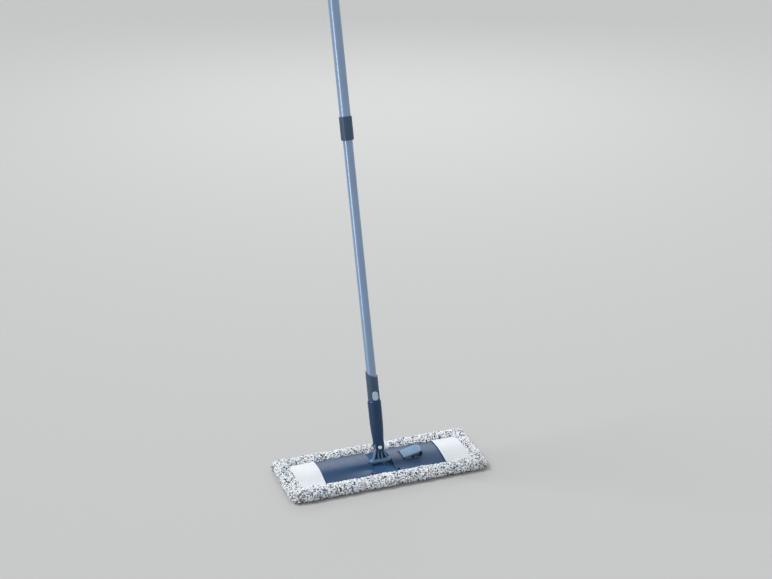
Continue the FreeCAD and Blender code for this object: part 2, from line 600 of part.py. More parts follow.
def button_spring():
    """A bowed leaf between the spigot's flat and the button."""
    low = SPIGOT_FLAT + 0.1
    high = BUTTON_INNER - 0.1
    leaf = 0.4
    outer = [(BUTTON_S - 9, low), (BUTTON_S - 4, high), (BUTTON_S + 4, high), (BUTTON_S + 9, low)]
    inner = [(BUTTON_S + 7.6, low), (BUTTON_S + 3.6, high - leaf),
             (BUTTON_S - 3.6, high - leaf), (BUTTON_S - 7.6, low)]
    corners = [V(-2.5, -y, s) for s, y in outer + inner]
    return Part.Face(Part.makePolygon(corners + corners[:1])).extrude(V(5, 0, 0))


# ---- telescopic pole ----

def lower_tube():
    return tube(LOWER_TUBE_D / 2, LOWER_TUBE_D / 2 - TUBE_WALL, LOWER_TUBE_START, LOWER_TUBE_END)


def guide_plug():
    """The plastic plug on the lower tube's top, which guides it in the upper tube."""
    depth = 20.0
    plug = Part.makeCylinder(LOWER_TUBE_D / 2 - TUBE_WALL, depth, V(0, 0, LOWER_TUBE_END - depth))
    cap = Part.makeCylinder(UPPER_TUBE_D / 2 - TUBE_WALL - RUNNING, 12, V(0, 0, LOWER_TUBE_END))
    bore = Part.makeCylinder(PLUG_BORE_R, 3 * depth, V(0, 0, LOWER_TUBE_END - 1.5 * depth))
    return fused(plug, cap).cut(bore)


def clamp_collet():
    """The slit bush at the upper tube's foot that the collar squeezes on the lower tube."""
    bore = LOWER_TUBE_D / 2 + RUNNING
    foot = COLLAR_START + 1.5
    profile = [(bore, foot), (COLLET_R - 0.6, foot), (COLLET_R, UPPER_TUBE_START - 3),
               (COLLET_R, UPPER_TUBE_START), (UPPER_TUBE_D / 2 - TUBE_WALL, UPPER_TUBE_START),
               (UPPER_TUBE_D / 2 - TUBE_WALL, COLLET_END), (bore, COLLET_END)]
    body = revolved(profile)
    for turn in (0, 90):
        slit = box(-0.5, 0.5, -20, 20, COLLAR_START, UPPER_TUBE_START - 4)
        slit.rotate(V(0, 0, 0), V(0, 0, 1), turn)
        body = body.cut(slit)
    return body


def lock_collar():
    """The twist collar that clamps the telescopic pole."""
    length = COLLAR_END - COLLAR_START
    body = Part.makeCylinder(COLLAR_R, length, V(0, 0, COLLAR_START))
    foot = [e for e in body.Edges if isinstance(e.Curve, Part.Circle) and e.BoundBox.ZMax < COLLAR_START + 1]
    body = body.makeFillet(2.4, foot)
    head = [e for e in body.Edges if isinstance(e.Curve, Part.Circle) and e.BoundBox.ZMin > COLLAR_END - 1]
    body = body.makeChamfer(0.8, head)
    body = body.cut(Part.makeCylinder(LOWER_TUBE_D / 2 + 0.4, 20, V(0, 0, COLLAR_START - 5)))
    body = body.cut(Part.makeCylinder(COLLET_R + 0.1, UPPER_TUBE_START - COLLAR_START,
                                      V(0, 0, COLLAR_START + 1.2)))
    body = body.cut(Part.makeCylinder(UPPER_TUBE_D / 2 + RUNNING, 60, V(0, 0, UPPER_TUBE_START)))
    for k in range(12):
        groove = Part.makeCylinder(0.7, length - 16, V(COLLAR_R + 0.35, 0, COLLAR_START + 8))
        groove.rotate(V(0, 0, 0), V(0, 0, 1), k * 30.0)
        body = body.cut(groove)
    return body


def upper_tube():
    return tube(UPPER_TUBE_D / 2, UPPER_TUBE_D / 2 - TUBE_WALL, UPPER_TUBE_START, UPPER_TUBE_END)


def hand_grip():
    """A soft sleeve at the pole's top, with shallow finger rings below a plain band."""
    inner = UPPER_TUBE_D / 2
    body = revolved([(inner, GRIP_START), (inner + 1.2, GRIP_START), (GRIP_R, GRIP_START + 8),
                     (GRIP_R, UPPER_TUBE_END - 8), (GRIP_R - 1, UPPER_TUBE_END), (inner, UPPER_TUBE_END)])
    for k in range(4):
        ring = Part.makeTorus(GRIP_R + 0.5, 1.1, V(0, 0, GRIP_START + 18 + k * 11))
        body = body.cut(ring)
    return body


def hanging_eye():
    """The end cap: a plug in the upper tube and a flat eye to hang the mop by."""
    depth = 18.0
    plug = Part.makeCylinder(UPPER_TUBE_D / 2 - TUBE_WALL, depth, V(0, 0, UPPER_TUBE_END - depth))
    cap = Part.makeCone(GRIP_R - 1, EYE_OUTER, 10, V(0, 0, UPPER_TUBE_END))
    middle = POLE_TOP - EYE_OUTER
    eye = rod(EYE_OUTER, V(0, -EYE_HALF, middle), V(0, EYE_HALF, middle))
    eye = fused(eye, box(-EYE_OUTER, EYE_OUTER, -EYE_HALF, EYE_HALF, UPPER_TUBE_END + 5, middle))
    return fused(plug, cap, eye).cut(rod(EYE_R, V(0, -20, middle + 1), V(0, 20, middle + 1)))


# ---- mop cover ----

def pad_half(side):
    """Half of the cover: the pile under the plate and the puffy border round it."""
    outer = PAD_LENGTH / 2
    half = PAD_WIDTH / 2
    plan = rounded_plate(COVER_SPLIT, outer, -half, half, 0, BORDER_HEIGHT, (0, PAD_CORNER))
    if side < 0:
        plan = plan.mirror(V(0, 0, 0), V(1, 0, 0))
    room = box(0, side * BORDER_INNER_X, -BORDER_INNER_Y, BORDER_INNER_Y, PILE, 60)
    return plan.cut(room)


def pad_centre():
    """The strip of cover under the hinges, which folds with the wings."""
    half = PAD_WIDTH / 2
    strip = box(-COVER_SPLIT, COVER_SPLIT, -half, half, 0, BORDER_HEIGHT)
    return strip.cut(box(-60, 60, -BORDER_INNER_Y, BORDER_INNER_Y, PILE, 60))


def pocket(side, crowns):
    """The cloth pocket over a wing's outer end."""
    outer_end = BORDER_INNER_X - 0.3
    over = crown(crowns, side, lift=POCKET_GAP + POCKET_CLOTH, inset=-0.8, bottom=PILE)
    under = crown(crowns, side, lift=POCKET_GAP, inset=-2.0, bottom=0)
    room = under.common(box(0, side * (PLATE_LENGTH / 2 + 1.0), -60, 60, 0, 60))
    return over.common(box(side * POCKET_EDGE, side * outer_end, -60, 60, 0, 60)).cut(room)


def pocket_hem(side, crowns):
    """The narrow binding sewn on the pocket's open edge."""
    lift = POCKET_GAP + POCKET_CLOTH + 0.05
    over = crown(crowns, side, lift=lift + HEM_CLOTH, inset=-0.8, bottom=PILE)
    under = crown(crowns, side, lift=lift, inset=-2.0, bottom=0)
    return over.cut(under).common(box(side * POCKET_EDGE, side * (POCKET_EDGE + HEM_WIDTH), -60, 60, 0, 60))


def parts():
    """Every sub-part by name, placed where it lies in the standing mop."""
    placed = {
        "centre_block": centre_block(),
        "left_wing": left_wing(),
        "right_wing": right_wing(),
        "left_hinge_pin": hinge_pin(-1),
        "right_hinge_pin": hinge_pin(1),
        "latch_cover": latch_cover(),
        "latch_cover_screws": cover_screws(),
        "latch_slider": latch_slider(),
        "latch_spring": latch_spring(),
        "push_rod": push_rod(),
        "foot_pedal": pedal(),
        "pedal_axle": pedal_axle(),
        "pedal_spring": pedal_spring(),
        "cover_left": pad_half(-1),
        "cover_right": pad_half(1),
        "cover_centre": pad_centre(),
        "pocket_left": pocket(-1, LEFT_CROWNS),
        "pocket_right": pocket(1, RIGHT_CROWNS),
        "hem_left": pocket_hem(-1, LEFT_CROWNS),
        "hem_right": pocket_hem(1, RIGHT_CROWNS),
    }
    for name, shape in (("yoke", yoke()), ("yoke_web", yoke_web()),
                        ("cross_pin", cross_pin()), ("pin_washer", pin_washer()),
                        ("handle_socket", handle_socket()), ("click_sleeve", click_sleeve()),
                        ("push_button", push_button()), ("button_spring", button_spring()),
                        ("lower_tube", lower_tube()), ("guide_plug", guide_plug()),
                        ("clamp_collet", clamp_collet()), ("lock_collar", lock_collar()),
                        ("upper_tube", upper_tube()), ("hand_grip", hand_grip()),
                        ("hanging_eye", hanging_eye())):
        placed[name] = on_pole(shape)
    return placed


os.makedirs("parts", exist_ok=True)
for name, shape in parts().items():
    shape.exportStep("parts/" + name + ".step")
    state = "valid" if shape.isValid() else "INVALID"
    print(name, state, len(shape.Solids), "solids", round(shape.Volume), "mm3")
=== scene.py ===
import json
import math

import bpy
import numpy as np
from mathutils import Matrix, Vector
from mathutils.bvhtree import BVHTree


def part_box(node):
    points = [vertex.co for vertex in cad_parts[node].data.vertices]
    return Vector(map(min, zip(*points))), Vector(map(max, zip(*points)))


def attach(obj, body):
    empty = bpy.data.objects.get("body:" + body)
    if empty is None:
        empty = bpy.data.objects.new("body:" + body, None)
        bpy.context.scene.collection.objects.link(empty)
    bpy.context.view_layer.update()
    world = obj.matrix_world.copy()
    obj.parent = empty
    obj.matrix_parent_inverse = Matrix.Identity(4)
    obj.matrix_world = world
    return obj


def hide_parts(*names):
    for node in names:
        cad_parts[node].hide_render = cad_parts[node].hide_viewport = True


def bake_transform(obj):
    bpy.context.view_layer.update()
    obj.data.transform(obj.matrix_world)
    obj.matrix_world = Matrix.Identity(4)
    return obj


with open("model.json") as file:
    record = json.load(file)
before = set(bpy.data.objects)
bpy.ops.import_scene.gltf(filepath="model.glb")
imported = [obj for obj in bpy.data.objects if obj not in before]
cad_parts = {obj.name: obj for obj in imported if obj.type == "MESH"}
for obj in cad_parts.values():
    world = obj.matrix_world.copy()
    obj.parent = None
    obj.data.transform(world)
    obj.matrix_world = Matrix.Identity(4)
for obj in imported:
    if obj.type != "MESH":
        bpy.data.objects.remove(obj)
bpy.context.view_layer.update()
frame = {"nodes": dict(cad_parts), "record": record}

# The flat mop's looks. The CAD nodes keep their meshes and get materials, and the mop cover's plain
# solids are replaced by pile, cloth and stitched hems that move with the frame's wings.

MM = 0.001

# ---- places and sizes, from the frame ----

LOW, HIGH = (Vector(corner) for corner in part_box("cover_left"))
PAD_END = -LOW.x                              # half the pad's length
PAD_SIDE = HIGH.y                             # half the pad's width
PLATE_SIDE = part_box("left_wing")[1][1]        # half the plate's width
SOLE_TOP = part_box("latch_cover")[0][2] - 0.2 * MM
POCKET_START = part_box("pocket_right")[0][0]
POCKET_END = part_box("pocket_right")[1][0]

# ---- the cover ----

# The border is a roll of pile round a firm inside, which is an ellipse swept along a middle line
ROLL_HALF_WIDTH = 14.0 * MM
ROLL_HALF_HEIGHT = 8.0 * MM
ROLL_Z = 9.6 * MM
ROLL_PILE = 2.6 * MM                          # how far the pile comes out of the firm inside
ROLL_SIDE = PAD_SIDE - ROLL_HALF_WIDTH - ROLL_PILE
ROLL_END = PAD_END - ROLL_HALF_WIDTH - ROLL_PILE
ROLL_CORNER = 6.0 * MM
ROLL_FLOOR = 1.0 * MM                         # the firm inside is cut off flat at this height
ROLL_GIRTH = 0.9                              # the roll's girth, against a circle of its half width
CORNER_FLARE = 0.30                           # how much the roll swells outwards at a corner
PUFFS = ((0.045, 13.0 * MM, 0.0), (0.045, 7.1 * MM, 1.3), (0.04, 29.0 * MM, 2.0))   # swell, length, phase
PUFF_SHIFT = 100.0 * MM                       # so that the two halves don't swell alike

# The middle line of half the border runs along the front, round the end and back to the middle
ROLL_STRAIGHT = ROLL_END - ROLL_CORNER
ROLL_INNER = ROLL_SIDE - ROLL_CORNER
ROLL_ARC = ROLL_CORNER * math.pi / 2
ROLL_STOPS = np.cumsum([0, ROLL_STRAIGHT, ROLL_ARC, 2 * ROLL_INNER, ROLL_ARC, ROLL_STRAIGHT])
ROLL_LENGTH = ROLL_STOPS[-1]

# The firm inside's mesh
ROLL_ROWS = 150
ROLL_SIDES = 18
CORE_SHRINK = 0.96

# Round the roll, 0 is outwards, a quarter turn is up and half a turn is inwards
LOOPS_FROM = -2.1
LOOPS_TO = math.pi + 0.28
PAINTED_SHADOW_FROM, PAINTED_SHADOW_TO = -1.1, 0.4              # the part of the roll where a contact shadow is painted into the loops' colour
PAINTED_SHADOW_HEIGHT = 6.0 * MM
PAINTED_SHADOW_DEPTH = 0.45                            # how dark the painted shadow gets at the floor

# Chenille loops
LOOP_WIDTH = 4.0 * MM
LOOP_HEIGHT = 6.4 * MM
LOOP_STEPS = 6                                # rings along one loop
LOOP_LEAN = 0.28                              # spread of the loops' lean
LOOP_TWIST = 0.5                              # spread of their twist, in widths
LOOP_DIP = 0.12                               # how far past half a turn each leg goes
WIDTH_SPREAD = (0.7, 1.25)                    # how unlike each other the loops are
HEIGHT_SPREAD = (0.65, 1.2)
YARN_SPREAD = (0.85, 1.2)
YARN_FOOT, YARN_SWELL = 0.75, 0.35            # the yarn's thickness at a loop's feet, and what its top adds
LOOP_SINK = 0.6 * MM                          # how deep the roots sit in the cloth
YARN = 1.15 * MM                              # the yarn's radius
YARN_SIDES = 5
LOOPS_ALONG = 2.6 * MM                        # spacing of the loops on the border
LOOPS_UNDER = 3.6 * MM                        # spacing of the loops under the pad
JITTER = (-0.1, 1.1)                          # a border loop's place in its cell
END_MARGIN = 0.5 * MM

# The sole's backing cloth
SOLE_LOW = 4.2 * MM
SOLE_GRID = (48, 20)
SOLE_QUILT = 0.5 * MM                         # height of the quilting on its lower side, and its lengths
QUILT_X, QUILT_Y = 6.0 * MM, 5.0 * MM
SOLE_FLAT = 0.8                               # the loops under the pad are pressed to this height

# The pockets and their hems
POCKET_MARGIN = 0.6 * MM
POCKET_OVERLAP = 0.3 * MM                     # how far the cloth passes the plate's long edges
POCKET_GRID = (34, 44)
POCKET_THICKNESS = 0.9 * MM
HEM_OVERLAP = 0.2 * MM
HEM_GRID = (7, 60)
HEM_THICKNESS = 0.7 * MM
HEM_LIFT = 0.15 * MM
PAST_EDGE_Z = 14.0 * MM                       # the cloth's height where nothing lies under it

# Stitches
STITCH_ROWS = (0.2, 0.8)                      # places across the hem
STITCH_SPACING = 2.6 * MM
STITCH_LENGTH = 1.7 * MM
STITCH_RADIUS = 0.22 * MM
STITCH_SIDES = 6
STITCH_PROFILE = ((-0.5, 0.15), (-0.3, 0.9), (0.0, 1.0), (0.3, 0.9), (0.5, 0.15))   # place, width
STITCH_RISE = 0.4                             # how far a stitch stands out of the tape, in radii
STITCH_INSET = 3.0 * MM

# ---- colours, linear ----

NAVY = (0.012, 0.047, 0.116)
LIGHT = (0.135, 0.235, 0.370)
# A lighter copy of the navy plastic: painted light for the upright click sleeve and lock collar
NAVY_PAINTED_LIGHTER = (0.048, 0.088, 0.155)
BUTTON = (0.50, 0.60, 0.74)
ACETAL = (0.75, 0.76, 0.78)
POLE_BLUE = (0.225, 0.335, 0.505)
STEEL = (0.80, 0.81, 0.83)
SPRING_STEEL = (0.12, 0.12, 0.14)
POCKET_WHITE = (0.70, 0.73, 0.76)
HEM_WHITE = (0.74, 0.77, 0.82)
PILE_WHITE = (0.93, 0.95, 0.97)
PILE_SKY = (0.15, 0.24, 0.40)
PILE_NAVY = (0.010, 0.024, 0.062)
FLECKS = ((0.0, 0.20, PILE_NAVY), (0.20, 0.29, PILE_SKY))   # from and to, as shares of all loops, and the dye
PAINTED_SHADE_BACKING = (0.03, 0.05, 0.09)                  # the backing cloth's upper side, painted dark as shade where it shows through the plate's openings
CORE_PAINTED_SHADE = 0.55                              # the border's firm inside, painted darker than white as shade in the gaps between the loops
SOLE_TINT = 0.8                               # the backing cloth's lower side
WHITE_SPREAD = (0.80, 1.06)                   # how unlike each other the strands are
DYE_SPREAD = (0.8, 1.5)

WAVE_RATE = 3.2                               # how often a wave texture of scale 1 repeats in a metre

# Nodes with a shade of their own
OWN_MATERIALS = {
    # The click sleeve and lock collar get the navy plastic painted lighter, as painted light.
    "click_sleeve": "navy_painted_lighter",
    "lock_collar": "navy_painted_lighter",
    "push_button": "pale_plastic",
    "centre_block": "matt_navy",
}

# ---- light and camera ----

FLOOR_SIZE = 30.0
FLOOR_GREY = 0.43
SKY_TINT = (0.98, 0.99, 1.0, 1.0)
SKY_TURN = (0.55, 0.90)                       # the sky brightens over this range of a direction's Y
SKY_LEVELS = (0.68, 1.3)
SUN_POWER = 2.3
SUN_ANGLE = math.radians(18)
SUN_DIRECTION = Vector((1.6, -1.2, -2.5))     # it comes from the back left
LAMP_TARGET = Vector((0, 0, 0.1))

AZIMUTH = math.radians(-19.5)
ELEVATION = math.radians(25.5)
AIM = Vector((0.0148, 0.0, 0.456))
DISTANCE = 3.74
LENS = 79.3
SENSOR = 36.0

RANDOM = np.random.default_rng(7)


# ---- materials ----

class Nodes:
    """A new material with its Principled shader, and short ways to add and join nodes."""

    def __init__(self, name):
        self.material = bpy.data.materials.new(name)
        self.material.use_nodes = True
        self.tree = self.material.node_tree
        self.shader = self.tree.nodes["Principled BSDF"]

    def add(self, kind, **values):
        node = self.tree.nodes.new(kind)
        for key, value in values.items():
            if key in node.inputs:
                node.inputs[key].default_value = value
            else:
                setattr(node, key, value)
        return node

    def join(self, output, target):
        self.tree.links.new(output, target)

    def drive(self, output, name):
        """Join an output to one of the shader's inputs."""
        self.join(output, self.shader.inputs[name])

    def set(self, **values):
        for key, value in values.items():
            self.shader.inputs[key.replace("_", " ")].default_value = value

    def place(self):
        return self.add("ShaderNodeTexCoord").outputs["Object"]

    def noise(self, scale, detail=3.0):
        node = self.add("ShaderNodeTexNoise", Scale=scale, Detail=detail)
        self.join(self.place(), node.inputs["Vector"])
        return node.outputs["Fac"]

    def ramp(self, value, start, end):
        """A colour that runs from start to end, each a position and a colour."""
        node = self.add("ShaderNodeValToRGB")
        for element, (position, colour) in zip(node.color_ramp.elements, (start, end)):
            element.position = position
            element.color = (*colour, 1.0)
        self.join(value, node.inputs["Fac"])
        return node.outputs["Color"]

    def product(self, first, second):
        node = self.add("ShaderNodeMath", operation="MULTIPLY")
        self.join(first, node.inputs[0])
        self.join(second, node.inputs[1])
        return node.outputs[0]

    def tinted(self, colour, tint, strength):
        """A colour multiplied by a tint."""
        node = self.add("ShaderNodeMix", data_type="RGBA", blend_type="MULTIPLY")
        node.inputs["Factor"].default_value = strength
        self.join(colour, node.inputs["A"])
        self.join(tint, node.inputs["B"])
        return node.outputs["Result"]

    def bump(self, height, strength, distance):
        node = self.add("ShaderNodeBump", Strength=strength, Distance=distance)
        self.join(height, node.inputs["Height"])
        self.drive(node.outputs["Normal"], "Normal")


def shade(colour, factor):
    return tuple(min(1.0, channel * factor) for channel in colour)


def grey(level):
    return (level, level, level)


def moulded(name, colour, roughness=0.38):
    """Satin injection-moulded plastic: fine eroded grain, faint flow marks, paler rubbed edges."""
    m = Nodes(name)
    tone = m.ramp(m.noise(14.0, 4.0), (0.3, shade(colour, 0.93)), (0.7, shade(colour, 1.07)))
    edges = m.ramp(m.add("ShaderNodeNewGeometry").outputs["Pointiness"], (0.52, grey(0.0)), (0.60, grey(1.0)))
    scuffs = m.ramp(m.noise(160.0, 5.0), (0.45, grey(0.0)), (0.75, grey(0.35)))
    worn = m.add("ShaderNodeMix", data_type="RGBA", blend_type="MIX")
    m.join(m.product(edges, scuffs), worn.inputs["Factor"])
    m.join(tone, worn.inputs["A"])
    worn.inputs["B"].default_value = (*shade(colour, 1.9), 1.0)
    m.drive(worn.outputs["Result"], "Base Color")
    gloss = m.ramp(m.noise(60.0), (0.3, grey(roughness - 0.02)), (0.7, grey(roughness + 0.03)))
    m.drive(gloss, "Roughness")
    m.bump(m.noise(2200.0, 2.0), 0.25, 0.05 * MM)
    m.set(IOR=1.5, Specular_IOR_Level=0.28)
    return m.material


def lacquer(name, colour):
    """Lacquered tube: smooth colour under a clear coat, with slight orange peel."""
    m = Nodes(name)
    tone = m.ramp(m.noise(9.0), (0.35, shade(colour, 0.96)), (0.65, shade(colour, 1.04)))
    m.drive(tone, "Base Color")
    m.bump(m.noise(420.0, 2.0), 0.12, 0.05 * MM)
    m.set(Metallic=0.25, Roughness=0.34, Coat_Weight=0.45, Coat_Roughness=0.12)
    return m.material


def metal(name, colour, roughness):
    """Steel with an uneven polish and a very fine grain."""
    m = Nodes(name)
    rough = m.ramp(m.noise(500.0, 4.0), (0.3, grey(roughness * 0.7)), (0.7, grey(roughness * 1.4)))
    m.drive(rough, "Roughness")
    m.bump(m.noise(1500.0, 2.0), 0.1, 0.02 * MM)
    m.set(Metallic=1.0, Base_Color=(*colour, 1.0))
    return m.material


def soft_grip(name, colour):
    """Matt rubber with a fine stipple."""
    m = Nodes(name)
    tone = m.ramp(m.noise(30.0), (0.3, shade(colour, 0.9)), (0.7, shade(colour, 1.1)))
    m.drive(tone, "Base Color")
    m.bump(m.noise(1800.0, 1.0), 0.5, 0.1 * MM)
    m.set(Roughness=0.72)
    return m.material


def chenille(name):
    """Yarn coloured strand by strand from the mesh, with fine fibres and a soft sheen."""
    m = Nodes(name)
    strand = m.add("ShaderNodeAttribute", attribute_name="yarn").outputs["Color"]
    fibres = m.ramp(m.noise(1500.0, 4.0), (0.25, (0.84, 0.86, 0.89)), (0.7, grey(1.0)))
    m.drive(m.tinted(strand, fibres, 0.8), "Base Color")
    m.bump(m.noise(2600.0), 0.6, 0.25 * MM)
    m.set(Roughness=0.92, Sheen_Weight=0.35, Sheen_Roughness=0.5)
    m.set(Subsurface_Weight=0.12, Subsurface_Scale=2.0 * MM)
    return m.material


def knitted_mesh(name, colour, pitch):
    """Fine knitted mesh: crossed ribs, with painted shade darkening the gaps between them."""
    m = Nodes(name)
    place = m.place()
    ribs = []
    for direction in ("X", "Y"):
        wave = m.add("ShaderNodeTexWave", wave_type="BANDS", bands_direction=direction, wave_profile="SIN",
                     Scale=1.0 / pitch / WAVE_RATE, Distortion=0.6, Detail=1.0)
        m.join(place, wave.inputs["Vector"])
        ribs.append(wave.outputs["Fac"])
    weave = m.product(*ribs)
    # Painted shade: the weave's gaps are coloured darker than its ribs.
    tone = m.ramp(weave, (0.0, shade(colour, 0.80)), (0.45, colour))
    soft = m.ramp(m.noise(22.0), (0.3, (0.93, 0.94, 0.96)), (0.7, grey(1.0)))
    m.drive(m.tinted(tone, soft, 1.0), "Base Color")
    m.bump(weave, 0.5, 0.12 * MM)
    m.set(Roughness=0.75, Sheen_Weight=0.2)
    return m.material


def make_materials():
    """All materials, by the name of their slot or shade."""
    return {
        "navy_plastic": moulded("navy_plastic", NAVY),
        "light_plastic": moulded("light_plastic", LIGHT, roughness=0.42),
        "navy_painted_lighter": moulded("navy_painted_lighter", NAVY_PAINTED_LIGHTER, roughness=0.42),
        "matt_navy": moulded("matt_navy", shade(NAVY, 1.25), roughness=0.7),
        "pale_plastic": moulded("pale_plastic", BUTTON, roughness=0.4),
        "white_plastic": moulded("white_plastic", ACETAL, roughness=0.4),
        "pole_lacquer": lacquer("pole_lacquer", POLE_BLUE),
        "grip_rubber": soft_grip("grip_rubber", NAVY),
        "pin_steel": metal("pin_steel", STEEL, 0.22),
        "spring_steel": metal("spring_steel", SPRING_STEEL, 0.42),
        "chenille": chenille("chenille"),
        "pocket_cloth": knitted_mesh("pocket_cloth", POCKET_WHITE, 1.1 * MM),
        "hem_tape": knitted_mesh("hem_tape", HEM_WHITE, 0.7 * MM),
    }


# ---- meshes ----

def new_piece(name, vertices, faces, material, colours=None):
    mesh = bpy.data.meshes.new(name)
    mesh.from_pydata(vertices, [], faces)
    if colours is not None:
        layer = mesh.color_attributes.new("yarn", "FLOAT_COLOR", "POINT")
        rgba = np.ones((len(colours), 4), np.float32)
        rgba[:, :3] = colours
        layer.data.foreach_set("color", rgba.ravel())
    mesh.polygons.foreach_set("use_smooth", [True] * len(mesh.polygons))
    mesh.materials.append(material)
    mesh.update()
    piece = bpy.data.objects.new(name, mesh)
    bpy.context.scene.collection.objects.link(piece)
    return piece


def unit(vectors):
    return vectors / np.linalg.norm(vectors, axis=-1, keepdims=True)


def tube_faces(rows, sides):
    """The faces of a closed tube of rows rings, with a cap at each end."""
    faces = []
    for i in range(rows - 1):
        for j in range(sides):
            a = i * sides + j
            b = i * sides + (j + 1) % sides
            faces.append((a, b, b + sides, a + sides))
    faces.append(tuple(reversed(range(sides))))
    faces.append(tuple(range((rows - 1) * sides, rows * sides)))
    return faces


def slab_faces(columns, rows, flip):
    """The faces of a closed slab: an upper layer of points, a lower layer, and the rim between them.
    flip is for a slab whose columns run towards -X."""
    layer = columns * rows
    faces = []
    for i in range(columns - 1):
        for j in range(rows - 1):
            a = i * rows + j
            upper = (a, a + rows, a + rows + 1, a + 1)
            faces.append(upper)
            faces.append(tuple(layer + k for k in reversed(upper)))
    rim = [i * rows for i in range(columns)]
    rim += [(columns - 1) * rows + j for j in range(1, rows)]
    rim += [i * rows + rows - 1 for i in range(columns - 2, -1, -1)]
    rim += list(range(rows - 2, 0, -1))
    for a, b in zip(rim, rim[1:] + rim[:1]):
        faces.append((a, a + layer, b + layer, b))
    return [face[::-1] for face in faces] if flip else faces


def shifted(faces, start):
    """The same faces on vertices that begin at start."""
    return [tuple(start + i for i in face) for face in faces]


# ---- the pile's loops ----

def loop_colours(count):
    """Colours along each loop: mostly white, with sky blue and navy flecks."""
    colours = np.tile(np.array(PILE_WHITE, np.float32), (count, LOOP_STEPS, 1))
    colours *= RANDOM.uniform(*WHITE_SPREAD, (count, 1, 1))
    kind = RANDOM.random(count)[:, None]
    start = RANDOM.integers(0, LOOP_STEPS - 1, count)[:, None]
    length = RANDOM.integers(2, LOOP_STEPS, count)[:, None]
    step = np.arange(LOOP_STEPS)
    dyed = (step >= start) & (step < start + length)
    for low, high, dye in FLECKS:
        chosen = dyed & (kind >= low) & (kind < high)
        tone = np.array(dye, np.float32) * RANDOM.uniform(*DYE_SPREAD, (count, 1))
        colours = np.where(chosen[:, :, None], tone[:, None, :], colours)
    return np.clip(colours, 0, 1)


def loop_directions(normals, along):
    """Each loop's own three directions, after a random turn and lean: lengthwise, up and sideways."""
    count = len(normals)
    turn = RANDOM.uniform(0, 2 * math.pi, count)[:, None]
    across = np.cross(normals, along)
    direction = along * np.cos(turn) + across * np.sin(turn)
    lean = RANDOM.normal(0, LOOP_LEAN, (count, 2))
    up = unit(normals + along * lean[:, :1] + across * lean[:, 1:])
    side = unit(np.cross(up, direction))
    return np.cross(side, up), up, side


def loops(roots, normals, along, flat=1.0):
    """A yarn loop standing at each root, kept above the floor. Returns vertices, faces and colours."""
    count = len(roots)
    direction, up, side = (vector[:, None] for vector in loop_directions(normals, along))
    width = LOOP_WIDTH * RANDOM.uniform(*WIDTH_SPREAD, count)
    height = LOOP_HEIGHT * flat * RANDOM.uniform(*HEIGHT_SPREAD, count)
    twist = RANDOM.normal(0, LOOP_TWIST, count) * width
    t = np.linspace(-LOOP_DIP, math.pi + LOOP_DIP, LOOP_STEPS)
    lengthwise = np.cos(t)[None, :, None] * (width / 2)[:, None, None]
    upwards = np.sin(t)[None, :, None] * height[:, None, None]
    sideways = np.sin(2 * t)[None, :, None] * (twist / 3)[:, None, None]
    centre = roots[:, None] + direction * lengthwise + up * upwards + side * sideways
    tangent = unit(np.gradient(centre, axis=1))
    inward = unit(np.cross(side, tangent))
    third = np.cross(tangent, inward)
    radius = YARN * (YARN_FOOT + YARN_SWELL * np.sin(t))[None, :, None, None]
    radius = radius * RANDOM.uniform(*YARN_SPREAD, (count, 1, 1, 1))
    angle = np.linspace(0, 2 * math.pi, YARN_SIDES, endpoint=False)[:, None]
    ring = np.cos(angle) * inward[:, :, None] + np.sin(angle) * third[:, :, None]
    vertices = centre[:, :, None] + radius * ring
    vertices[..., 2] = np.maximum(vertices[..., 2], 0.0)
    colours = np.repeat(loop_colours(count)[:, :, None], YARN_SIDES, axis=2)
    one_loop = tube_faces(LOOP_STEPS, YARN_SIDES)
    faces = []
    for n in range(count):
        faces.extend(shifted(one_loop, n * LOOP_STEPS * YARN_SIDES))
    return vertices.reshape(-1, 3), faces, colours.reshape(-1, 3)


# ---- the cover's border and sole ----

def puff(s):
    """The border's slow swelling along its length, about 1."""
    return 1 + sum(swell * np.sin(s / length + phase) for swell, length, phase in PUFFS)


def roll_line(side, s):
    """Points s along the border's middle line on one half, and their outward directions.
    The line is a rounded corner's width outside a rectangle."""
    x = np.interp(s, ROLL_STOPS, np.array([0, 1, 1, 1, 1, 0]) * ROLL_STRAIGHT)
    y = np.interp(s, ROLL_STOPS, np.array([-1, -1, -1, 1, 1, 1]) * ROLL_INNER)
    angle = np.interp(s, ROLL_STOPS, np.array([-1, -1, 0, 0, 1, 1]) * math.pi / 2)
    outward = np.stack([side * np.cos(angle), np.sin(angle), np.zeros_like(s)], axis=1)
    rectangle = np.stack([side * x, y, np.zeros_like(s)], axis=1)
    return rectangle + ROLL_CORNER * outward, outward


def roll_surface(side, s, around, shrink=1.0):
    """Points and normals on the border's firm inside, and the outward directions there."""
    line, outward = roll_line(side, s)
    swell = puff(s + (PUFF_SHIFT if side > 0 else 0.0))[:, None] * shrink
    up = np.array([0.0, 0.0, 1.0])
    out, rise = np.cos(around)[:, None], np.sin(around)[:, None]
    diagonal = np.abs(2 * outward[:, :1] * outward[:, 1:2])
    reach = ROLL_HALF_WIDTH * swell * (1 + CORNER_FLARE * diagonal * (out > 0))
    points = line + outward * out * reach + up * (ROLL_Z + rise * ROLL_HALF_HEIGHT * swell)
    normals = unit(outward * out / ROLL_HALF_WIDTH + up * rise / ROLL_HALF_HEIGHT)
    return points, normals, outward


def border_core(side):
    """The firm inside of half the border. Returns vertices and faces."""
    s = np.repeat(np.linspace(0, ROLL_LENGTH, ROLL_ROWS), ROLL_SIDES)
    around = np.tile(np.linspace(0, 2 * math.pi, ROLL_SIDES, endpoint=False), ROLL_ROWS)
    points, _, _ = roll_surface(side, s, around, shrink=CORE_SHRINK)
    points[:, 2] = np.maximum(points[:, 2], ROLL_FLOOR)
    faces = tube_faces(ROLL_ROWS, ROLL_SIDES)
    return points, faces if side < 0 else [face[::-1] for face in faces]


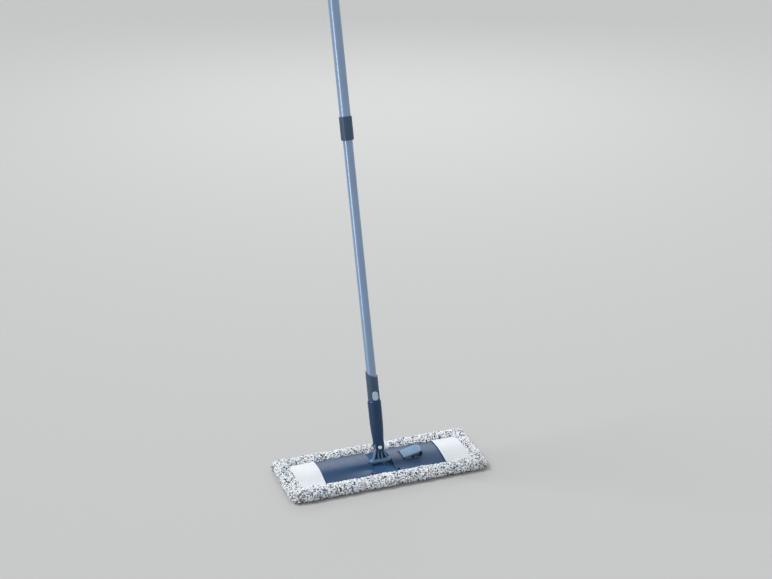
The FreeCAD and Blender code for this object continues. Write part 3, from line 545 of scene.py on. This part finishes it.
def border_loops(side):
    """The loops on half the border, darkened low on its outer side by a painted contact shadow."""
    girth = ROLL_HALF_WIDTH * (LOOPS_TO - LOOPS_FROM) * ROLL_GIRTH
    long_cells, round_cells = int(ROLL_LENGTH / LOOPS_ALONG), int(girth / LOOPS_ALONG)
    count = long_cells * round_cells
    along_cell, round_cell = np.divmod(np.arange(count), round_cells)
    s = (along_cell + RANDOM.uniform(*JITTER, count)) / long_cells * ROLL_LENGTH
    s = np.clip(s, END_MARGIN, ROLL_LENGTH - END_MARGIN)
    share = (round_cell + RANDOM.uniform(*JITTER, count)) / round_cells
    around = LOOPS_FROM + share * (LOOPS_TO - LOOPS_FROM)
    roots, normals, outward = roll_surface(side, s, around)
    along = unit(np.cross(normals, np.cross(outward, [0, 0, 1.0])))
    vertices, faces, colours = loops(roots - normals * LOOP_SINK, normals, along)
    # Painted contact shadow: loops low on the roll's outer side get darker towards the floor.
    in_painted_shadow = np.repeat((around > PAINTED_SHADOW_FROM) & (around < PAINTED_SHADOW_TO), LOOP_STEPS * YARN_SIDES)
    colours[in_painted_shadow] *= np.clip(vertices[in_painted_shadow, 2:] / PAINTED_SHADOW_HEIGHT, PAINTED_SHADOW_DEPTH, 1.0)
    return vertices, faces, colours


def border(side, name, material):
    """The puffy chenille border on one half of the cover: a firm roll covered in loops."""
    core, faces = border_core(side)
    vertices, more, colours = border_loops(side)
    # The firm inside is painted darker, as shade seen in the gaps between the loops.
    tint = np.tile(np.array(shade(PILE_WHITE, CORE_PAINTED_SHADE)), (len(core), 1))
    faces = faces + shifted(more, len(core))
    return new_piece(name, np.vstack([core, vertices]), faces, material, np.vstack([tint, colours]))


def sole_cloth(side):
    """The backing cloth under one half of the plate: flat above, slightly quilted below."""
    columns, rows = SOLE_GRID
    x = np.repeat(np.linspace(0, ROLL_END, columns) * side, rows)
    y = np.tile(np.linspace(-ROLL_SIDE, ROLL_SIDE, rows), columns)
    quilt = SOLE_QUILT * np.sin(x / QUILT_X) * np.sin(y / QUILT_Y)
    upper = np.stack([x, y, np.full_like(x, SOLE_TOP)], axis=1)
    lower = np.stack([x, y, SOLE_LOW + quilt], axis=1)
    return np.vstack([upper, lower]), slab_faces(columns, rows, flip=side < 0)


def sole(side, name, material):
    """The pile under one half of the plate: the backing cloth and a dense field of flattened loops."""
    cloth, faces = sole_cloth(side)
    long_cells, cross_cells = int(ROLL_END / LOOPS_UNDER), int(2 * ROLL_SIDE / LOOPS_UNDER)
    count = long_cells * cross_cells
    long_cell, cross_cell = np.divmod(np.arange(count), cross_cells)
    roots = np.zeros((count, 3))
    roots[:, 0] = side * (long_cell + RANDOM.uniform(0, 1, count)) / long_cells * ROLL_END
    roots[:, 1] = -ROLL_SIDE + (cross_cell + RANDOM.uniform(0, 1, count)) / cross_cells * 2 * ROLL_SIDE
    roots[:, 2] = SOLE_LOW + LOOP_SINK
    down = np.tile([0.0, 0.0, -1.0], (count, 1))
    along = np.tile([1.0, 0.0, 0.0], (count, 1))
    tufts, more, colours = loops(roots, down, along, flat=SOLE_FLAT)
    # The backing's upper side is painted dark as shade; its lower side is the pale cloth.
    tint = np.repeat(np.array([PAINTED_SHADE_BACKING, shade(PILE_WHITE, SOLE_TINT)]), len(cloth) // 2, axis=0)
    faces = faces + shifted(more, len(cloth))
    return new_piece(name, np.vstack([cloth, tufts]), faces, material, np.vstack([tint, colours]))


# ---- the pockets and hems ----

def surface_of(piece):
    """A ray caster on an object at rest."""
    return BVHTree.FromObject(piece, bpy.context.evaluated_depsgraph_get())


def above(surface, x, y):
    """Where a ray straight down meets the surface, and the normal there, or two Nones."""
    return surface.ray_cast(Vector((x, y, 0.2)), Vector((0, 0, -1)))[:2]


def cloth_sheet(name, node, ends, half, grid, thickness, material, shape):
    """A closed thin sheet that follows a CAD node from above, raised by shape(u, v)."""
    surface = surface_of(frame["nodes"][node])
    columns, rows = grid
    start, end = ends
    upper, lower = [], []
    for i in range(columns):
        u = i / (columns - 1)
        x = start + (end - start) * u
        for j in range(rows):
            v = j / (rows - 1)
            y = half * (2 * v - 1)
            point, _ = above(surface, x, y)
            z = (point.z if point else PAST_EDGE_Z) + shape(u, v)
            upper.append((x, y, z))
            lower.append((x, y, z - thickness))
    return new_piece(name, upper + lower, slab_faces(columns, rows, flip=end < start), material)


def stitches(name, points, along, normals, material):
    """A row of short thread stitches, each a small closed spindle lying on the cloth."""
    vertices, faces = [], []
    spindle = [face[::-1] for face in tube_faces(len(STITCH_PROFILE), STITCH_SIDES)]
    for point, direction, normal in zip(points, along, normals):
        across = normal.cross(direction).normalized()
        faces.extend(shifted(spindle, len(vertices)))
        for step, width in STITCH_PROFILE:
            for k in range(STITCH_SIDES):
                angle = 2 * math.pi * k / STITCH_SIDES
                offset = across * math.cos(angle) + normal * (math.sin(angle) + STITCH_RISE)
                vertices.append(point + direction * (step * STITCH_LENGTH) + offset * (STITCH_RADIUS * width))
    return new_piece(name, vertices, faces, material)


def hem(side, label, materials):
    """The binding along a pocket's open edge, and its two rows of stitches."""
    def crown(u, v):
        """The tape is slightly domed, and ripples along its length."""
        return HEM_LIFT + (0.25 * math.sin(math.pi * u) + 0.06 * math.sin(v * 130)) * MM
    low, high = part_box("hem_" + label)
    inner, outer = (high.x, low.x) if side < 0 else (low.x, high.x)
    half = PLATE_SIDE + HEM_OVERLAP
    tape = cloth_sheet("hem_tape_" + label, "hem_" + label, (inner, outer), half, HEM_GRID, HEM_THICKNESS,
                       materials["hem_tape"], crown)
    surface = surface_of(tape)
    points, along, normals = [], [], []
    for u in STITCH_ROWS:
        x = inner + (outer - inner) * u
        for y in np.arange(STITCH_INSET - half, half - STITCH_INSET, STITCH_SPACING):
            here, normal = above(surface, x, y)
            ahead, _ = above(surface, x, y + 1.0 * MM)
            if here and ahead:
                points.append(here)
                along.append((ahead - here).normalized())
                normals.append(normal)
    thread = stitches("hem_thread_" + label, points, along, normals, materials["hem_tape"])
    return tape, thread


def pocket(side, label, materials):
    """The smooth cloth over one end of the plate, drawn tight over its crown, puckered at its ends."""
    def tension(u, v):
        """A slight crown in the middle, and fine puckers towards the two ends."""
        middle = math.sin(math.pi * u) * math.sin(math.pi * v)
        puckers = math.sin(v * 38) * (1 - u) ** 6 * 0.15 + math.sin(v * 61 + 1) * u ** 5 * 0.35
        return (0.25 * middle + puckers) * MM
    ends = (side * (POCKET_START + POCKET_MARGIN), side * (POCKET_END - POCKET_MARGIN))
    half = PLATE_SIDE + POCKET_OVERLAP
    return cloth_sheet("pocket_cloth_" + label, "pocket_" + label, ends, half, POCKET_GRID, POCKET_THICKNESS,
                       materials["pocket_cloth"], tension)


# ---- the object ----

def finish_cad_nodes(materials):
    """Every CAD node that stays gets the material of its slot, or its own shade."""
    slots = {part["node"]: part["material_slot"] for part in frame["record"]["subparts"]}
    for name, node in frame["nodes"].items():
        node.data.materials.clear()
        node.data.materials.append(materials[OWN_MATERIALS.get(name, slots[name])])


def build_cover(materials):
    """The cover's soft pieces on both wings, in place of the plain CAD solids."""
    for side, label in ((-1, "left"), (1, "right")):
        made = (border(side, "border_" + label, materials["chenille"]),
                sole(side, "sole_" + label, materials["chenille"]))
        for piece in made:
            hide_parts("cover_" + label, "cover_centre")
            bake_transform(piece)
        cloth = pocket(side, label, materials)
        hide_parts("pocket_" + label)
        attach(cloth, "wing_" + label)
        tape, thread = hem(side, label, materials)
        for piece in (tape, thread):
            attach(piece, "wing_" + label)
        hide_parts("hem_" + label)


# ---- scene ----

def studio_floor():
    """A plain pale floor."""
    bpy.ops.mesh.primitive_plane_add(size=FLOOR_SIZE, location=(0, 0, 0))
    floor = bpy.context.object
    floor.name = "studio_floor"
    m = Nodes("studio_floor")
    m.set(Base_Color=(*grey(FLOOR_GREY), 1.0), Roughness=0.8, Specular_IOR_Level=0.1)
    floor.data.materials.append(m.material)


def sky():
    """A soft grey sky, brighter towards the back."""
    world = bpy.data.worlds.new("studio")
    bpy.context.scene.world = world
    world.use_nodes = True
    tree = world.node_tree
    place = tree.nodes.new("ShaderNodeTexCoord")
    split = tree.nodes.new("ShaderNodeSeparateXYZ")
    tree.links.new(place.outputs["Generated"], split.inputs[0])
    behind = tree.nodes.new("ShaderNodeMapRange")
    behind.interpolation_type = "SMOOTHSTEP"
    behind.inputs["From Min"].default_value, behind.inputs["From Max"].default_value = SKY_TURN
    behind.inputs["To Min"].default_value, behind.inputs["To Max"].default_value = SKY_LEVELS
    tree.links.new(split.outputs["Y"], behind.inputs["Value"])
    tint = tree.nodes.new("ShaderNodeMix")
    tint.data_type = "RGBA"
    tint.blend_type = "MULTIPLY"
    tint.inputs["Factor"].default_value = 1.0
    tint.inputs["B"].default_value = SKY_TINT
    tree.links.new(behind.outputs["Result"], tint.inputs["A"])
    tree.links.new(tint.outputs["Result"], tree.nodes["Background"].inputs["Color"])


def key_light():
    """A wide soft sun from the back left, which gives the mop's soft shadow."""
    data = bpy.data.lights.new("key_light", "SUN")
    data.energy = SUN_POWER
    data.angle = SUN_ANGLE
    sun = bpy.data.objects.new("key_light", data)
    sun.rotation_euler = SUN_DIRECTION.to_track_quat("-Z", "Y").to_euler()
    bpy.context.scene.collection.objects.link(sun)


def lamp(name, place, size, power):
    """A soft box of the given width and height, turned to the mop."""
    data = bpy.data.lights.new(name, "AREA")
    data.shape = "RECTANGLE"
    data.size, data.size_y = size
    data.energy = power
    light = bpy.data.objects.new(name, data)
    light.location = place
    light.rotation_euler = (LAMP_TARGET - Vector(place)).to_track_quat("-Z", "Y").to_euler()
    light.visible_camera = False
    bpy.context.scene.collection.objects.link(light)
    return light


def studio():
    """The floor, the sky, the sun, a low light behind, and a strip on the left that only gives highlights."""
    bpy.context.scene.view_settings.view_transform = "Standard"
    studio_floor()
    sky()
    key_light()
    lamp("back_light", place=(1.0, 2.8, 1.45), size=(1.8, 0.8), power=15.0)
    strip = lamp("side_strip", place=(-2.2, -0.5, 0.75), size=(0.35, 1.5), power=20.0)
    strip.visible_diffuse = False


def camera():
    """The photograph's view: from the mop's front left, a little above it."""
    back = Vector((math.sin(AZIMUTH) * math.cos(ELEVATION), -math.cos(AZIMUTH) * math.cos(ELEVATION),
                   math.sin(ELEVATION)))
    data = bpy.data.cameras.new("camera")
    data.lens = LENS
    data.sensor_width = SENSOR
    eye = bpy.data.objects.new("camera", data)
    eye.location = AIM + back * DISTANCE
    eye.rotation_euler = back.to_track_quat("Z", "Y").to_euler()
    bpy.context.scene.collection.objects.link(eye)
    bpy.context.scene.camera = eye


def main():
    materials = make_materials()
    finish_cad_nodes(materials)
    build_cover(materials)
    studio()
    camera()


main()
